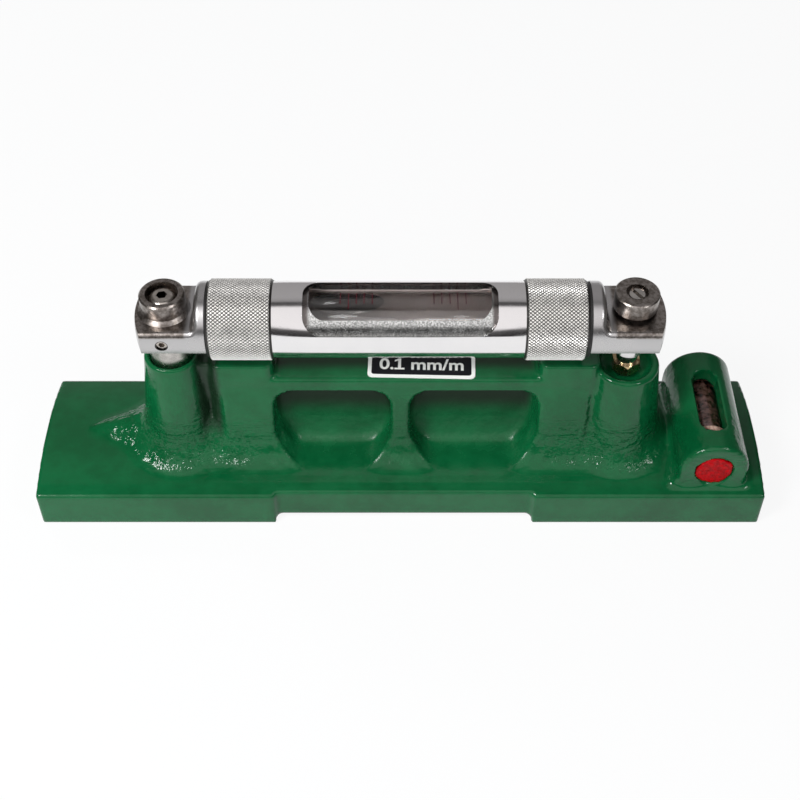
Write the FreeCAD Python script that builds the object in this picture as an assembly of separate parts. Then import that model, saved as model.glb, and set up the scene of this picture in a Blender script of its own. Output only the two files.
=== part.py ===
import FreeCAD, Part
import math
import os

from FreeCAD import Vector

# Bench level: a green cast base carries a vial tube that can be levelled against the sole.
# Millimetres. Origin at the centre of the sole, X along the base, Y to the back, Z up.

# base plate
BASE_LENGTH = 200.0
BASE_WIDTH = 44.0
EDGE_HEIGHT = 11.6
CROWN_HEIGHT = 15.2
PLATE_ROUND = 0.7
VEE_WIDTH = 20.0
VEE_ANGLE = 120.0
WAIST_LEFT = -34.7
WAIST_RIGHT = 36.6
WAIST_SETBACK = 1.2
RELIEF_DEPTH = 2.6
RELIEF_ROUND = 2.0

# posts at the two ends of the vial tube
LEFT_X = -60.9
RIGHT_X = 60.4
LEFT_POST_TOP = 46.0
LEFT_POST_RADIUS = 7.4
RIGHT_POST_TOP = 42.6
RIGHT_POST_RADIUS = 9.0
POST_DRAFT = 6.5
POST_EDGE_ROUND = 0.8
POST_FOOT = 8.0
LEFT_FOOT_ROUND = 10.0
RIGHT_FOOT_ROUND = 8.0
TAIL_START = 2.0
TAIL_LENGTH = 26.0
TAIL_RADIUS = 10.5
TAIL_TIP_RADIUS = 1.5
TAIL_Z = 13.5
LINK_TOP = 44.0
LINK_HALF_THICKNESS = 3.0
LEFT_DISH_RADIUS = 6.4
LEFT_DISH_DEPTH = 1.6
RIGHT_DISH_RADIUS = 7.2
RIGHT_DISH_DEPTH = 3.4
DISH_DRAFT = 0.9

# pillars, web and label shelf between the posts
PILLAR_TOP = 45.0
PILLAR_HALF_DEPTH = 4.9
PILLAR_CORNER = 2.4
PILLAR_CORNER_GROWTH = 0.6
PILLAR_SPREAD = (
    (PILLAR_TOP, 0.0, 0.0),
    (34.0, 0.5, 0.8),
    (24.0, 1.4, 2.0),
    (18.0, 3.8, 4.6),
    (13.0, 8.0, 9.4),
)
LEFT_PILLAR = (-50.4, -34.2)
RIGHT_PILLAR = (37.4, 53.0)
SHELF_TOP = 40.6
SHELF_THICKNESS = 3.9
SHELF_HALF_DEPTH = 5.5
SHELF_ROUND = 0.8
WEB_HALF_THICKNESS = 1.6
WEB_FOOT_ROUND = 9.0
BUTTRESS_TOP_HALF_DEPTH = 5.2
BUTTRESS_FOOT_HALF_DEPTH = 9.0
BUTTRESS_FOOT_LEVEL = 22.0
RIB_HALF_WIDTH = 2.6
POCKET_TOP_ROUND = 5.6
POCKET_FOOT_ROUND = 11.5
POCKET_FOOT = 12.9

# cross vial housing
HOUSING_X = 85.2
HOUSING_AXIS_Z = 18.9
HOUSING_RADIUS = 9.4
HOUSING_FRONT = -19.0
HOUSING_BACK = 18.0
HOUSING_FOOT_ROUND = 4.0
HOUSING_FOOT_LEVEL = 12.6
HOUSING_EDGE_ROUND = 1.2
CROSS_BORE_RADIUS = 5.2
CROSS_SLOT_WIDTH = 7.0
CROSS_SLOT_LENGTH = 22.5
CROSS_SLOT_Y = -0.8
CROSS_VIAL_Y = 2.4
CROSS_GLASS_RADIUS = 4.4
CROSS_GLASS_WALL = 0.8
CROSS_GLASS_HALF_LENGTH = 12.5
CROSS_BEDDING_LENGTH = 3.2
CROSS_PLUG_DEPTH = 2.6
CROSS_PLUG_CHAMFER = 0.3
CROSS_BUBBLE = (1.9, 4.4, 1.0)

# vial tube
TUBE_Z = 57.9
TUBE_RADIUS = 10.0
KNURL_RADIUS = 10.6
SLEEVE_BORE = 8.9
SLEEVE_LEFT = -49.4
SLEEVE_RIGHT = 48.0
LEFT_KNURL_END = -32.7
RIGHT_KNURL_END = 31.9
KNURL_CHAMFER = 0.5
WINDOW_LENGTH = 49.7
WINDOW_WIDTH = 14.9
WINDOW_CORNER = 4.4
WINDOW_TURN = 24.0
CARRIER_RADIUS = 8.8
CARRIER_BORE = 7.7
CARRIER_WINDOW_LENGTH = 46.8
CARRIER_WINDOW_WIDTH = 13.1
CARRIER_WINDOW_CORNER = 3.8
RING_RADIUS = 9.8
RING_GAP = 0.05

# glass vial in the tube
GLASS_RADIUS = 7.0
GLASS_WALL = 1.0
GLASS_HALF_LENGTH = 37.0
BEDDING_LENGTH = 9.0
BUBBLE_X = -13.6
BUBBLE = (9.4, 3.6, 1.2)
SEALED_END_SHARE = 0.6

# end fittings
LEFT_COLLAR = (-52.6, -49.8)
RIGHT_COLLAR = (48.8, 52.4)
SPIGOT_LENGTH = 7.0
TONGUE_BOTTOM = 55.0
TONGUE_TOP = 61.7
TONGUE_SHOULDER_ROUND = 1.2
END_SIDE_X = 66.4
END_DOME_X = 68.6
TONGUE_ROUND = 1.5
BOSS_RADIUS = 5.9
BOSS_TOP = 67.2
BOSS_FILLET = 1.0
BOSS_EDGE = 0.4
HEAD_SEAT_Z = 64.2
HEAD_SEAT_RADIUS = 4.25
SHANK_HOLE_RADIUS = 2.4
STEM_HOLE_RADIUS = 3.5
STEM_HOLE_TOP = 61.2
STUD_HOLE_RADIUS = 2.6

# pivot and its screws
PIVOT_RADIUS = 5.5
PIVOT_BOTTOM = 33.0
PIVOT_SHOULDER_Z = 54.9
PIVOT_DOME_DROP = 0.5
PIVOT_DOME_FLAT = 0.8
STEM_RADIUS = 3.0
STEM_TOP = 60.8
SCREW_RADIUS = 2.0
SCREW_BOTTOM = 45.0
HEAD_RADIUS = 3.8
HEAD_HEIGHT = 2.3
HEAD_RIM = 0.3
HEAD_CROWN_SHARE = 0.5
HEAD_SOCKET_TURN = 10.0
HEAD_SEAT_GAP = 0.1
HEAD_SOCKET_FLATS = 2.5
HEAD_SOCKET_DEPTH = 1.4
SET_SCREW_RADIUS = 1.5
SET_SCREW_LENGTH = 6.4
SET_SCREW_GAP = 0.06
SET_SCREW_SOCKET_FLATS = 1.5
SET_SCREW_SOCKET_DEPTH = 1.4

# levelling stud with its nuts
STUD_RADIUS = 2.0
STUD_BOTTOM = 24.0
STUD_TOP = 66.9
STUD_SLOT_WIDTH = 1.0
STUD_SLOT_DEPTH = 1.2
STUD_SLOT_TURN = -55.0
THREAD_PLAY = 0.05
HEX_NUT_FLATS = 7.0
HEX_NUT_BOTTOM = 40.5
HEX_NUT_TOP = 43.7
HEX_NUT_CHAMFER = 0.45
BUSH_NECK_RADIUS = 2.9
BUSH_NECK_TOP = 47.0
BUSH_RADIUS = 3.9
BUSH_CHAMFER = 0.5
SEAT_GAP = 0.08
ROUND_NUT_RADIUS = 5.8
ROUND_NUT_BOTTOM = 62.7
ROUND_NUT_TOP = 67.6
ROUND_NUT_CHAMFER = 0.3
ROUND_NUT_RECESS_RADIUS = 2.9
ROUND_NUT_RECESS_DEPTH = 1.5
WASHER_RADIUS = 4.3

# label on the shelf
LABEL_LENGTH = 28.8
LABEL_WIDTH = 9.4
LABEL_THICKNESS = 0.3
LABEL_CORNER = 1.3
LABEL_X = 5.7
LABEL_Y = 0.0
LABEL_TURN = -1.5

X_AXIS = Vector(1, 0, 0)
Y_AXIS = Vector(0, 1, 0)
Z_AXIS = Vector(0, 0, 1)
FAR = 60.0
LAP = 0.01


def straight(a, b):
    return Part.LineSegment(a, b).toShape()


def arc(a, b, c):
    return Part.Arc(a, b, c).toShape()


def face_of(edges):
    return Part.Face(Part.Wire(Part.sortEdges(edges)[0]))


def polygon_face(points):
    return Part.Face(Part.makePolygon(list(points) + [points[0]]))


def rod(radius, start, end, axis=Z_AXIS, x=0.0, y=0.0, z=0.0):
    """A round bar from start to end along one row axis, through the point (x, y, z)."""
    place = Vector(x, y, z) + axis * start
    return Part.makeCylinder(radius, end - start, place, axis)


def box(x_range, y_range, z_range):
    size = [high - low for low, high in (x_range, y_range, z_range)]
    return Part.makeBox(size[0], size[1], size[2], Vector(x_range[0], y_range[0], z_range[0]))


def turned_on_tube(profile):
    """Turns (x, radius) points about the vial tube's axis."""
    points = [Vector(x, 0, TUBE_Z + radius) for x, radius in profile]
    return polygon_face(points).revolve(Vector(0, 0, TUBE_Z), X_AXIS, 360)


def turned_on_stud(x, profile):
    """Turns (radius, z) points about a vertical axis at x."""
    points = [Vector(x + radius, 0, z) for radius, z in profile]
    return polygon_face(points).revolve(Vector(x, 0, 0), Z_AXIS, 360)


def rounded_rectangle(x_range, y_range, z, corner):
    """A flat wire with four round corners, at height z."""
    (x0, x1), (y0, y1) = x_range, y_range
    k = corner * (1 - math.sqrt(0.5))
    edges = [
        straight(Vector(x0 + corner, y0, z), Vector(x1 - corner, y0, z)),
        arc(Vector(x1 - corner, y0, z), Vector(x1 - k, y0 + k, z), Vector(x1, y0 + corner, z)),
        straight(Vector(x1, y0 + corner, z), Vector(x1, y1 - corner, z)),
        arc(Vector(x1, y1 - corner, z), Vector(x1 - k, y1 - k, z), Vector(x1 - corner, y1, z)),
        straight(Vector(x1 - corner, y1, z), Vector(x0 + corner, y1, z)),
        arc(Vector(x0 + corner, y1, z), Vector(x0 + k, y1 - k, z), Vector(x0, y1 - corner, z)),
        straight(Vector(x0, y1 - corner, z), Vector(x0, y0 + corner, z)),
        arc(Vector(x0, y0 + corner, z), Vector(x0 + k, y0 + k, z), Vector(x0 + corner, y0, z)),
    ]
    return Part.Wire(edges)


def hexagon(flats, z, corner_angle):
    """A flat hexagon about the Z axis, given its width across flats."""
    reach = flats / 2 / math.cos(math.pi / 6)
    points = []
    for k in range(6):
        angle = math.radians(corner_angle + 60 * k)
        points.append(Vector(reach * math.cos(angle), reach * math.sin(angle), z))
    return polygon_face(points)


# ---------------------------------------------------------------- base casting


def base_plate():
    """The crowned plate with its vee groove, the relief under its middle and its narrower waist."""
    half = BASE_WIDTH / 2
    start = -BASE_LENGTH / 2
    vee_depth = VEE_WIDTH / 2 / math.tan(math.radians(VEE_ANGLE / 2))
    corners = [
        Vector(start, half, EDGE_HEIGHT),
        Vector(start, half, 0),
        Vector(start, VEE_WIDTH / 2, 0),
        Vector(start, 0, vee_depth),
        Vector(start, -VEE_WIDTH / 2, 0),
        Vector(start, -half, 0),
        Vector(start, -half, EDGE_HEIGHT),
    ]
    edges = [straight(a, b) for a, b in zip(corners, corners[1:])]
    edges.append(arc(corners[-1], Vector(start, 0, CROWN_HEIGHT), corners[0]))
    plate = face_of(edges).extrude(Vector(BASE_LENGTH, 0, 0))
    rims = [e for e in plate.Edges if e.BoundBox.ZMin > EDGE_HEIGHT / 2 or e.BoundBox.ZMax < EDGE_HEIGHT + 1
            and e.BoundBox.ZLength > EDGE_HEIGHT / 2]
    plate = plate.makeFillet(PLATE_ROUND, rims)
    waist = (WAIST_LEFT, WAIST_RIGHT)
    relief = box(waist, (-half - 1, half + 1), (-1, RELIEF_DEPTH))
    upper = [e for e in relief.Edges if e.BoundBox.ZMin > 0 and e.BoundBox.YLength > half]
    relief = relief.makeFillet(RELIEF_ROUND, upper)
    front = box(waist, (-half - 1, -half + WAIST_SETBACK), (-1, CROWN_HEIGHT))
    back = box(waist, (half - WAIST_SETBACK, half + 1), (-1, CROWN_HEIGHT))
    return plate.cut(relief).cut(front).cut(back)


def post(x, top, radius, dish_radius, dish_depth):
    """A drafted round post with a dished top."""
    edge = POST_EDGE_ROUND
    corner = edge * (1 - math.sqrt(0.5))
    foot_radius = radius + (top - POST_FOOT) * math.tan(math.radians(POST_DRAFT))

    def at(r, z):
        return Vector(x + r, 0, z)

    edges = [
        straight(at(0, POST_FOOT), at(foot_radius, POST_FOOT)),
        straight(at(foot_radius, POST_FOOT), at(radius, top - edge)),
        arc(at(radius, top - edge), at(radius - corner, top - corner), at(radius - edge, top)),
        straight(at(radius - edge, top), at(dish_radius, top)),
        straight(at(dish_radius, top), at(dish_radius - DISH_DRAFT, top - dish_depth)),
        straight(at(dish_radius - DISH_DRAFT, top - dish_depth), at(0, top - dish_depth)),
        straight(at(0, top - dish_depth), at(0, POST_FOOT)),
    ]
    return face_of(edges).revolve(Vector(x, 0, 0), Z_AXIS, 360)


def rooted(plate, new_post, foot_round):
    """Fuses a post to the plate and rounds the corner where it meets the crown."""
    reach = new_post.BoundBox
    joined = plate.fuse(new_post)
    corner = []
    for edge in joined.Edges:
        box_of = edge.BoundBox
        near_post = box_of.XMin > reach.XMin - 1 and box_of.XMax < reach.XMax + 1
        on_crown = box_of.ZMin > EDGE_HEIGHT and box_of.ZMax < CROWN_HEIGHT + 1
        if near_post and on_crown and box_of.XLength > PIVOT_RADIUS:
            corner.append(edge)
    return joined.makeFillet(foot_round, corner)


def tail():
    """The low tapering ridge that runs out from the left post along the plate."""
    start = LEFT_X - TAIL_START
    ridge = Part.makeCone(TAIL_RADIUS, TAIL_TIP_RADIUS, TAIL_LENGTH, Vector(start, 0, TAIL_Z), X_AXIS * -1)
    return ridge.common(box((start - TAIL_LENGTH, start), (-TAIL_RADIUS, TAIL_RADIUS), (POST_FOOT, FAR)))


def pillar(x_range):
    """A rectangular pillar with draft, whose foot spreads into the plate."""
    sections = []
    for z, along, across in PILLAR_SPREAD:
        half = PILLAR_HALF_DEPTH + across
        corner = PILLAR_CORNER + along * PILLAR_CORNER_GROWTH
        sections.append(rounded_rectangle((x_range[0] - along, x_range[1] + along), (-half, half), z, corner))
    return Part.makeLoft(sections, True, False)


def flared_wall(x_range, top_half, foot_half, foot_level, foot_round):
    """A wall along X whose two sides slope out and then curve into the plate."""
    spread = foot_half + foot_round
    level = foot_level - foot_round
    sag = foot_round * (1 - math.sqrt(0.5))
    x = x_range[0]
    right = [Vector(x, top_half, SHELF_TOP - 1), Vector(x, foot_half, foot_level)]
    left = [Vector(x, -point.y, point.z) for point in right]
    edges = [
        straight(left[0], right[0]),
        straight(right[0], right[1]),
        arc(right[1], Vector(x, foot_half + sag, level + sag), Vector(x, spread, level)),
        straight(Vector(x, spread, level), Vector(x, spread, level - 2)),
        straight(Vector(x, spread, level - 2), Vector(x, -spread, level - 2)),
        straight(Vector(x, -spread, level - 2), Vector(x, -spread, level)),
        arc(left[1], Vector(x, -foot_half - sag, level + sag), Vector(x, -spread, level)),
        straight(left[1], left[0]),
    ]
    return face_of(edges).extrude(Vector(x_range[1] - x_range[0], 0, 0))


def pocket(x_range, side):
    """The space cut from one side of the wall below the shelf, with large round corners."""
    x0, x1 = x_range
    top = SHELF_TOP - SHELF_THICKNESS
    foot = POCKET_FOOT
    a = POCKET_TOP_ROUND
    b = POCKET_FOOT_ROUND
    p = a * (1 - math.sqrt(0.5))
    q = b * (1 - math.sqrt(0.5))
    y = side * WEB_HALF_THICKNESS

    def at(x, z):
        return Vector(x, y, z)

    edges = [
        straight(at(x0 + a, top), at(x1 - a, top)),
        arc(at(x1 - a, top), at(x1 - p, top - p), at(x1, top - a)),
        straight(at(x1, top - a), at(x1, foot + b)),
        arc(at(x1, foot + b), at(x1 - q, foot + q), at(x1 - b, foot)),
        straight(at(x1 - b, foot), at(x0 + b, foot)),
        arc(at(x0 + b, foot), at(x0 + q, foot + q), at(x0, foot + b)),
        straight(at(x0, foot + b), at(x0, top - a)),
        arc(at(x0, top - a), at(x0 + p, top - p), at(x0 + a, top)),
    ]
    return face_of(edges).extrude(Vector(0, side * FAR, 0))


def wall_with_pockets():
    """The wall between the pillars: pocketed on both sides, with a rib left at the middle."""
    span = (LEFT_PILLAR[0] + PILLAR_CORNER, RIGHT_PILLAR[1] - PILLAR_CORNER)
    wall = flared_wall(span, BUTTRESS_TOP_HALF_DEPTH, BUTTRESS_FOOT_HALF_DEPTH, BUTTRESS_FOOT_LEVEL,
                       BUTTRESS_FOOT_LEVEL - POCKET_FOOT)
    for side in (-1, 1):
        wall = wall.cut(pocket((LEFT_PILLAR[1], -RIB_HALF_WIDTH), side))
        wall = wall.cut(pocket((RIB_HALF_WIDTH, RIGHT_PILLAR[0]), side))
    web = flared_wall(span, WEB_HALF_THICKNESS, WEB_HALF_THICKNESS, POCKET_FOOT + WEB_FOOT_ROUND, WEB_FOOT_ROUND)
    link = box((LEFT_X, LEFT_PILLAR[0] + PILLAR_CORNER), (-LINK_HALF_THICKNESS, LINK_HALF_THICKNESS),
               (POCKET_FOOT, LINK_TOP))
    return wall.fuse(web).fuse(link)


def shelf():
    """The bar that carries the label, from pillar to pillar."""
    bar = box((LEFT_PILLAR[1] - PILLAR_CORNER, RIGHT_PILLAR[0] + PILLAR_CORNER),
              (-SHELF_HALF_DEPTH, SHELF_HALF_DEPTH), (SHELF_TOP - SHELF_THICKNESS, SHELF_TOP))
    long_edges = [e for e in bar.Edges if e.BoundBox.XLength > FAR]
    return bar.makeFillet(SHELF_ROUND, long_edges)


def cross_housing():
    """The arched housing across the right end, before its bore and slot are cut."""
    y = HOUSING_FRONT
    r = HOUSING_RADIUS
    f = HOUSING_FOOT_ROUND
    sag = f * (1 - math.sqrt(0.5))
    level = HOUSING_FOOT_LEVEL

    def at(x, z):
        return Vector(HOUSING_X + x, y, z)

    edges = [
        arc(at(-r - f, level), at(-r - sag, level + sag), at(-r, level + f)),
        straight(at(-r, level + f), at(-r, HOUSING_AXIS_Z)),
        arc(at(-r, HOUSING_AXIS_Z), at(0, HOUSING_AXIS_Z + r), at(r, HOUSING_AXIS_Z)),
        straight(at(r, HOUSING_AXIS_Z), at(r, level - 2)),
        straight(at(r, level - 2), at(-r - f, level - 2)),
        straight(at(-r - f, level - 2), at(-r - f, level)),
    ]
    housing = face_of(edges).extrude(Vector(0, HOUSING_BACK - HOUSING_FRONT, 0))
    rims = [e for e in housing.Edges if e.BoundBox.ZMax > HOUSING_AXIS_Z + r / 2 and e.BoundBox.YLength < 1]
    return housing.makeFillet(HOUSING_EDGE_ROUND, rims)


def base_casting():
    """The one-piece green casting, bored for the pivot, the stud and the cross vial."""
    left_post = post(LEFT_X, LEFT_POST_TOP, LEFT_POST_RADIUS, LEFT_DISH_RADIUS, LEFT_DISH_DEPTH)
    right_post = post(RIGHT_X, RIGHT_POST_TOP, RIGHT_POST_RADIUS, RIGHT_DISH_RADIUS, RIGHT_DISH_DEPTH)
    casting = rooted(base_plate(), left_post, LEFT_FOOT_ROUND)
    casting = rooted(casting, right_post, RIGHT_FOOT_ROUND)
    for form in (tail(), pillar(LEFT_PILLAR), pillar(RIGHT_PILLAR), wall_with_pockets(), shelf(), cross_housing()):
        casting = casting.fuse(form)
    casting = casting.cut(rod(PIVOT_RADIUS, PIVOT_BOTTOM, LEFT_POST_TOP, x=LEFT_X))
    casting = casting.cut(rod(STUD_RADIUS, STUD_BOTTOM, RIGHT_POST_TOP, x=RIGHT_X))
    casting = casting.cut(rod(CROSS_BORE_RADIUS, HOUSING_FRONT - 1, HOUSING_BACK + 1, Y_AXIS, HOUSING_X, 0,
                              HOUSING_AXIS_Z))
    slot_x = (HOUSING_X - CROSS_SLOT_WIDTH / 2, HOUSING_X + CROSS_SLOT_WIDTH / 2)
    slot_y = (CROSS_SLOT_Y - CROSS_SLOT_LENGTH / 2, CROSS_SLOT_Y + CROSS_SLOT_LENGTH / 2)
    outline = rounded_rectangle(slot_x, slot_y, HOUSING_AXIS_Z, CROSS_SLOT_WIDTH / 2 - LAP)
    casting = casting.cut(Part.Face(outline).extrude(Vector(0, 0, FAR)))
    return casting


def label_plate():
    outline = rounded_rectangle((-LABEL_LENGTH / 2, LABEL_LENGTH / 2), (-LABEL_WIDTH / 2, LABEL_WIDTH / 2), 0,
                                LABEL_CORNER)
    plate = Part.Face(outline).extrude(Vector(0, 0, LABEL_THICKNESS))
    plate.rotate(Vector(0, 0, 0), Z_AXIS, LABEL_TURN)
    plate.translate(Vector(LABEL_X, LABEL_Y, SHELF_TOP))
    return plate


# ---------------------------------------------------------------- cross vial


def sealed_tube(radius, half_length, axis, centre):
    """A closed tube form: a straight barrel whose ends are drawn in."""
    drop = radius * SEALED_END_SHARE
    profile = [
        Vector(0, 0, -half_length),
        Vector(radius / 2, 0, -half_length),
        Vector(radius, 0, drop - half_length),
        Vector(radius, 0, half_length - drop),
        Vector(radius / 2, 0, half_length),
        Vector(0, 0, half_length),
    ]
    body = polygon_face(profile).revolve(Vector(0, 0, 0), Z_AXIS, 360)
    body.Placement = FreeCAD.Placement(centre, FreeCAD.Rotation(Z_AXIS, axis))
    return body


def bubble(top, reach):
    """The space of a bubble under the top of its tube: round-ended, with a level floor."""
    along, across, depth = reach
    corner = min(along, across) * (1 - LAP)
    outline = rounded_rectangle((-along, along), (-across, across), -depth, corner)
    space = Part.Face(outline).extrude(Vector(0, 0, 2 * depth))
    space.translate(top)
    return space


def cross_vial():
    """The small glass vial and the spirit in it, with the bubble left open in the spirit."""
    centre = Vector(HOUSING_X, CROSS_VIAL_Y, HOUSING_AXIS_Z)
    inner_radius = CROSS_GLASS_RADIUS - CROSS_GLASS_WALL
    inner_length = CROSS_GLASS_HALF_LENGTH - 2 * CROSS_GLASS_WALL
    outer = sealed_tube(CROSS_GLASS_RADIUS, CROSS_GLASS_HALF_LENGTH, Y_AXIS, centre)
    inner = sealed_tube(inner_radius, inner_length, Y_AXIS, centre)
    return outer.cut(inner), inner.cut(bubble(centre + Z_AXIS * inner_radius, CROSS_BUBBLE))


def cross_bedding(side):
    """Plaster that beds one end of the cross vial in its bore."""
    inner_end = CROSS_VIAL_Y + side * (CROSS_GLASS_HALF_LENGTH - CROSS_BEDDING_LENGTH)
    outer_end = (HOUSING_BACK if side > 0 else HOUSING_FRONT) - side * CROSS_PLUG_DEPTH
    start, end = sorted((inner_end, outer_end))
    fill = rod(CROSS_BORE_RADIUS, start, end, Y_AXIS, HOUSING_X, 0, HOUSING_AXIS_Z)
    centre = Vector(HOUSING_X, CROSS_VIAL_Y, HOUSING_AXIS_Z)
    return fill.cut(sealed_tube(CROSS_GLASS_RADIUS, CROSS_GLASS_HALF_LENGTH, Y_AXIS, centre))


def cross_plug(side):
    """The disc that closes one end of the bore."""
    face = HOUSING_BACK if side > 0 else HOUSING_FRONT
    start, end = sorted((face, face - side * CROSS_PLUG_DEPTH))
    disc = rod(CROSS_BORE_RADIUS, start, end, Y_AXIS, HOUSING_X, 0, HOUSING_AXIS_Z)
    rim = [e for e in disc.Edges if abs(e.BoundBox.YMin - face) < LAP and e.BoundBox.YLength < LAP]
    return disc.makeChamfer(CROSS_PLUG_CHAMFER, rim)


# ---------------------------------------------------------------- vial tube


def tube_window(length, width, corner, turn):
    """The tool that mills a rounded window through one side of a tube."""
    outline = rounded_rectangle((-length / 2, length / 2), (-width / 2, width / 2), TUBE_Z, corner)
    tool = Part.Face(outline).extrude(Vector(0, 0, FAR))
    tool.rotate(Vector(0, 0, TUBE_Z), X_AXIS, turn)
    return tool


def cover_sleeve():
    """The turning cover: a plain windowed middle between two knurled grips."""
    c = KNURL_CHAMFER
    profile = [
        (SLEEVE_LEFT, SLEEVE_BORE),
        (SLEEVE_LEFT, KNURL_RADIUS - c),
        (SLEEVE_LEFT + c, KNURL_RADIUS),
        (LEFT_KNURL_END, KNURL_RADIUS),
        (LEFT_KNURL_END, TUBE_RADIUS),
        (RIGHT_KNURL_END, TUBE_RADIUS),
        (RIGHT_KNURL_END, KNURL_RADIUS),
        (SLEEVE_RIGHT - 2 * c, KNURL_RADIUS),
        (SLEEVE_RIGHT, KNURL_RADIUS - 2 * c),
        (SLEEVE_RIGHT, SLEEVE_BORE),
    ]
    sleeve = turned_on_tube(profile)
    return sleeve.cut(tube_window(WINDOW_LENGTH, WINDOW_WIDTH, WINDOW_CORNER, WINDOW_TURN))


def carrier_tube():
    """The fixed tube under the cover, open over the vial's scale."""
    profile = [
        (LEFT_COLLAR[1], CARRIER_BORE),
        (LEFT_COLLAR[1], CARRIER_RADIUS),
        (RIGHT_COLLAR[0], CARRIER_RADIUS),
        (RIGHT_COLLAR[0], CARRIER_BORE),
    ]
    tube = turned_on_tube(profile)
    return tube.cut(tube_window(CARRIER_WINDOW_LENGTH, CARRIER_WINDOW_WIDTH, CARRIER_WINDOW_CORNER, 0))


def friction_ring(x_range):
    """The dark ring between the cover's end and a collar, which keeps the cover where it is turned."""
    x0, x1 = x_range
    return turned_on_tube([(x0, CARRIER_RADIUS), (x0, RING_RADIUS), (x1, RING_RADIUS), (x1, CARRIER_RADIUS)])


def main_vial():
    """The long glass vial and the spirit in it, with the bubble left open in the spirit."""
    centre = Vector(0, 0, TUBE_Z)
    inner_radius = GLASS_RADIUS - GLASS_WALL
    outer = sealed_tube(GLASS_RADIUS, GLASS_HALF_LENGTH, X_AXIS, centre)
    inner = sealed_tube(inner_radius, GLASS_HALF_LENGTH - 2 * GLASS_WALL, X_AXIS, centre)
    return outer.cut(inner), inner.cut(bubble(Vector(BUBBLE_X, 0, TUBE_Z + inner_radius), BUBBLE))


def vial_bedding(side):
    """The plaster ring that beds one end of the vial in the carrier."""
    outer = side * (GLASS_HALF_LENGTH - GLASS_RADIUS * SEALED_END_SHARE)
    inner = outer - side * BEDDING_LENGTH
    start, end = sorted((inner, outer))
    return turned_on_tube([(start, GLASS_RADIUS), (start, CARRIER_BORE), (end, CARRIER_BORE), (end, GLASS_RADIUS)])


# ---------------------------------------------------------------- end fittings


def fitting_blank(side, collar):
    """A turned fitting with spigot, collar and domed end, its tongue milled flat above and below."""
    inner = min(collar, key=abs)
    shoulder = max(collar, key=abs)
    spigot_end = inner - side * SPIGOT_LENGTH
    rise = END_DOME_X - END_SIDE_X
    dome_radius = (TUBE_RADIUS ** 2 + rise ** 2) / (2 * rise)
    half = TUBE_RADIUS / 2
    middle_x = END_DOME_X - dome_radius + math.sqrt(dome_radius ** 2 - half ** 2)

    def at(x, r):
        return Vector(x, 0, TUBE_Z + r)

    edges = [
        straight(at(spigot_end, 0), at(spigot_end, CARRIER_BORE)),
        straight(at(spigot_end, CARRIER_BORE), at(inner, CARRIER_BORE)),
        straight(at(inner, CARRIER_BORE), at(inner, TUBE_RADIUS)),
        straight(at(inner, TUBE_RADIUS), at(side * END_SIDE_X, TUBE_RADIUS)),
        arc(at(side * END_SIDE_X, TUBE_RADIUS), at(side * middle_x, half), at(side * END_DOME_X, 0)),
        straight(at(side * END_DOME_X, 0), at(spigot_end, 0)),
    ]
    blank = face_of(edges).revolve(Vector(0, 0, TUBE_Z), X_AXIS, 360)
    above = box(sorted((shoulder, side * FAR * 2)), (-FAR, FAR), (TONGUE_TOP, TONGUE_TOP + FAR))
    foot = [e for e in above.Edges if abs(e.BoundBox.XMin - shoulder) < LAP and abs(e.BoundBox.XMax - shoulder) < LAP
            and e.BoundBox.ZMax < TONGUE_TOP + 1]
    above = above.makeFillet(TONGUE_SHOULDER_ROUND, foot)
    below = box(sorted((inner, side * FAR * 2)), (-FAR, FAR), (0, TONGUE_BOTTOM))
    blank = blank.cut(above).cut(below)
    rims = [e for e in blank.Edges if e.BoundBox.ZMin > TONGUE_TOP - LAP and e.BoundBox.ZMax < TONGUE_TOP + LAP
            and e.BoundBox.XLength > BOSS_RADIUS and abs(e.BoundBox.Center.y) > BOSS_RADIUS]
    return blank.makeFillet(TONGUE_ROUND, rims)


def left_end_fitting():
    """The pivoting end, with a boss that sinks the clamp screw's head."""
    fitting = fitting_blank(-1, LEFT_COLLAR)
    boss = turned_on_stud(LEFT_X, [(0, TONGUE_TOP - 1), (BOSS_RADIUS + BOSS_FILLET, TONGUE_TOP - 1),
                                   (BOSS_RADIUS + BOSS_FILLET, TONGUE_TOP), (BOSS_RADIUS, TONGUE_TOP + BOSS_FILLET),
                                   (BOSS_RADIUS, BOSS_TOP - BOSS_EDGE), (BOSS_RADIUS - BOSS_EDGE, BOSS_TOP),
                                   (0, BOSS_TOP)])
    fitting = fitting.fuse(boss)
    fitting = fitting.cut(rod(HEAD_SEAT_RADIUS, HEAD_SEAT_Z, FAR * 2, x=LEFT_X))
    fitting = fitting.cut(rod(SHANK_HOLE_RADIUS, 0, FAR * 2, x=LEFT_X))
    fitting = fitting.cut(rod(STEM_HOLE_RADIUS, 0, STEM_HOLE_TOP, x=LEFT_X))
    fitting = fitting.cut(rod(SET_SCREW_RADIUS, -FAR, FAR, Y_AXIS, LEFT_X, 0, TUBE_Z))
    return fitting.removeSplitter()


def right_end_fitting():
    """The adjustable end, bored for the levelling stud."""
    fitting = fitting_blank(1, RIGHT_COLLAR)
    return fitting.cut(rod(STUD_HOLE_RADIUS, 0, FAR * 2, x=RIGHT_X))


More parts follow.
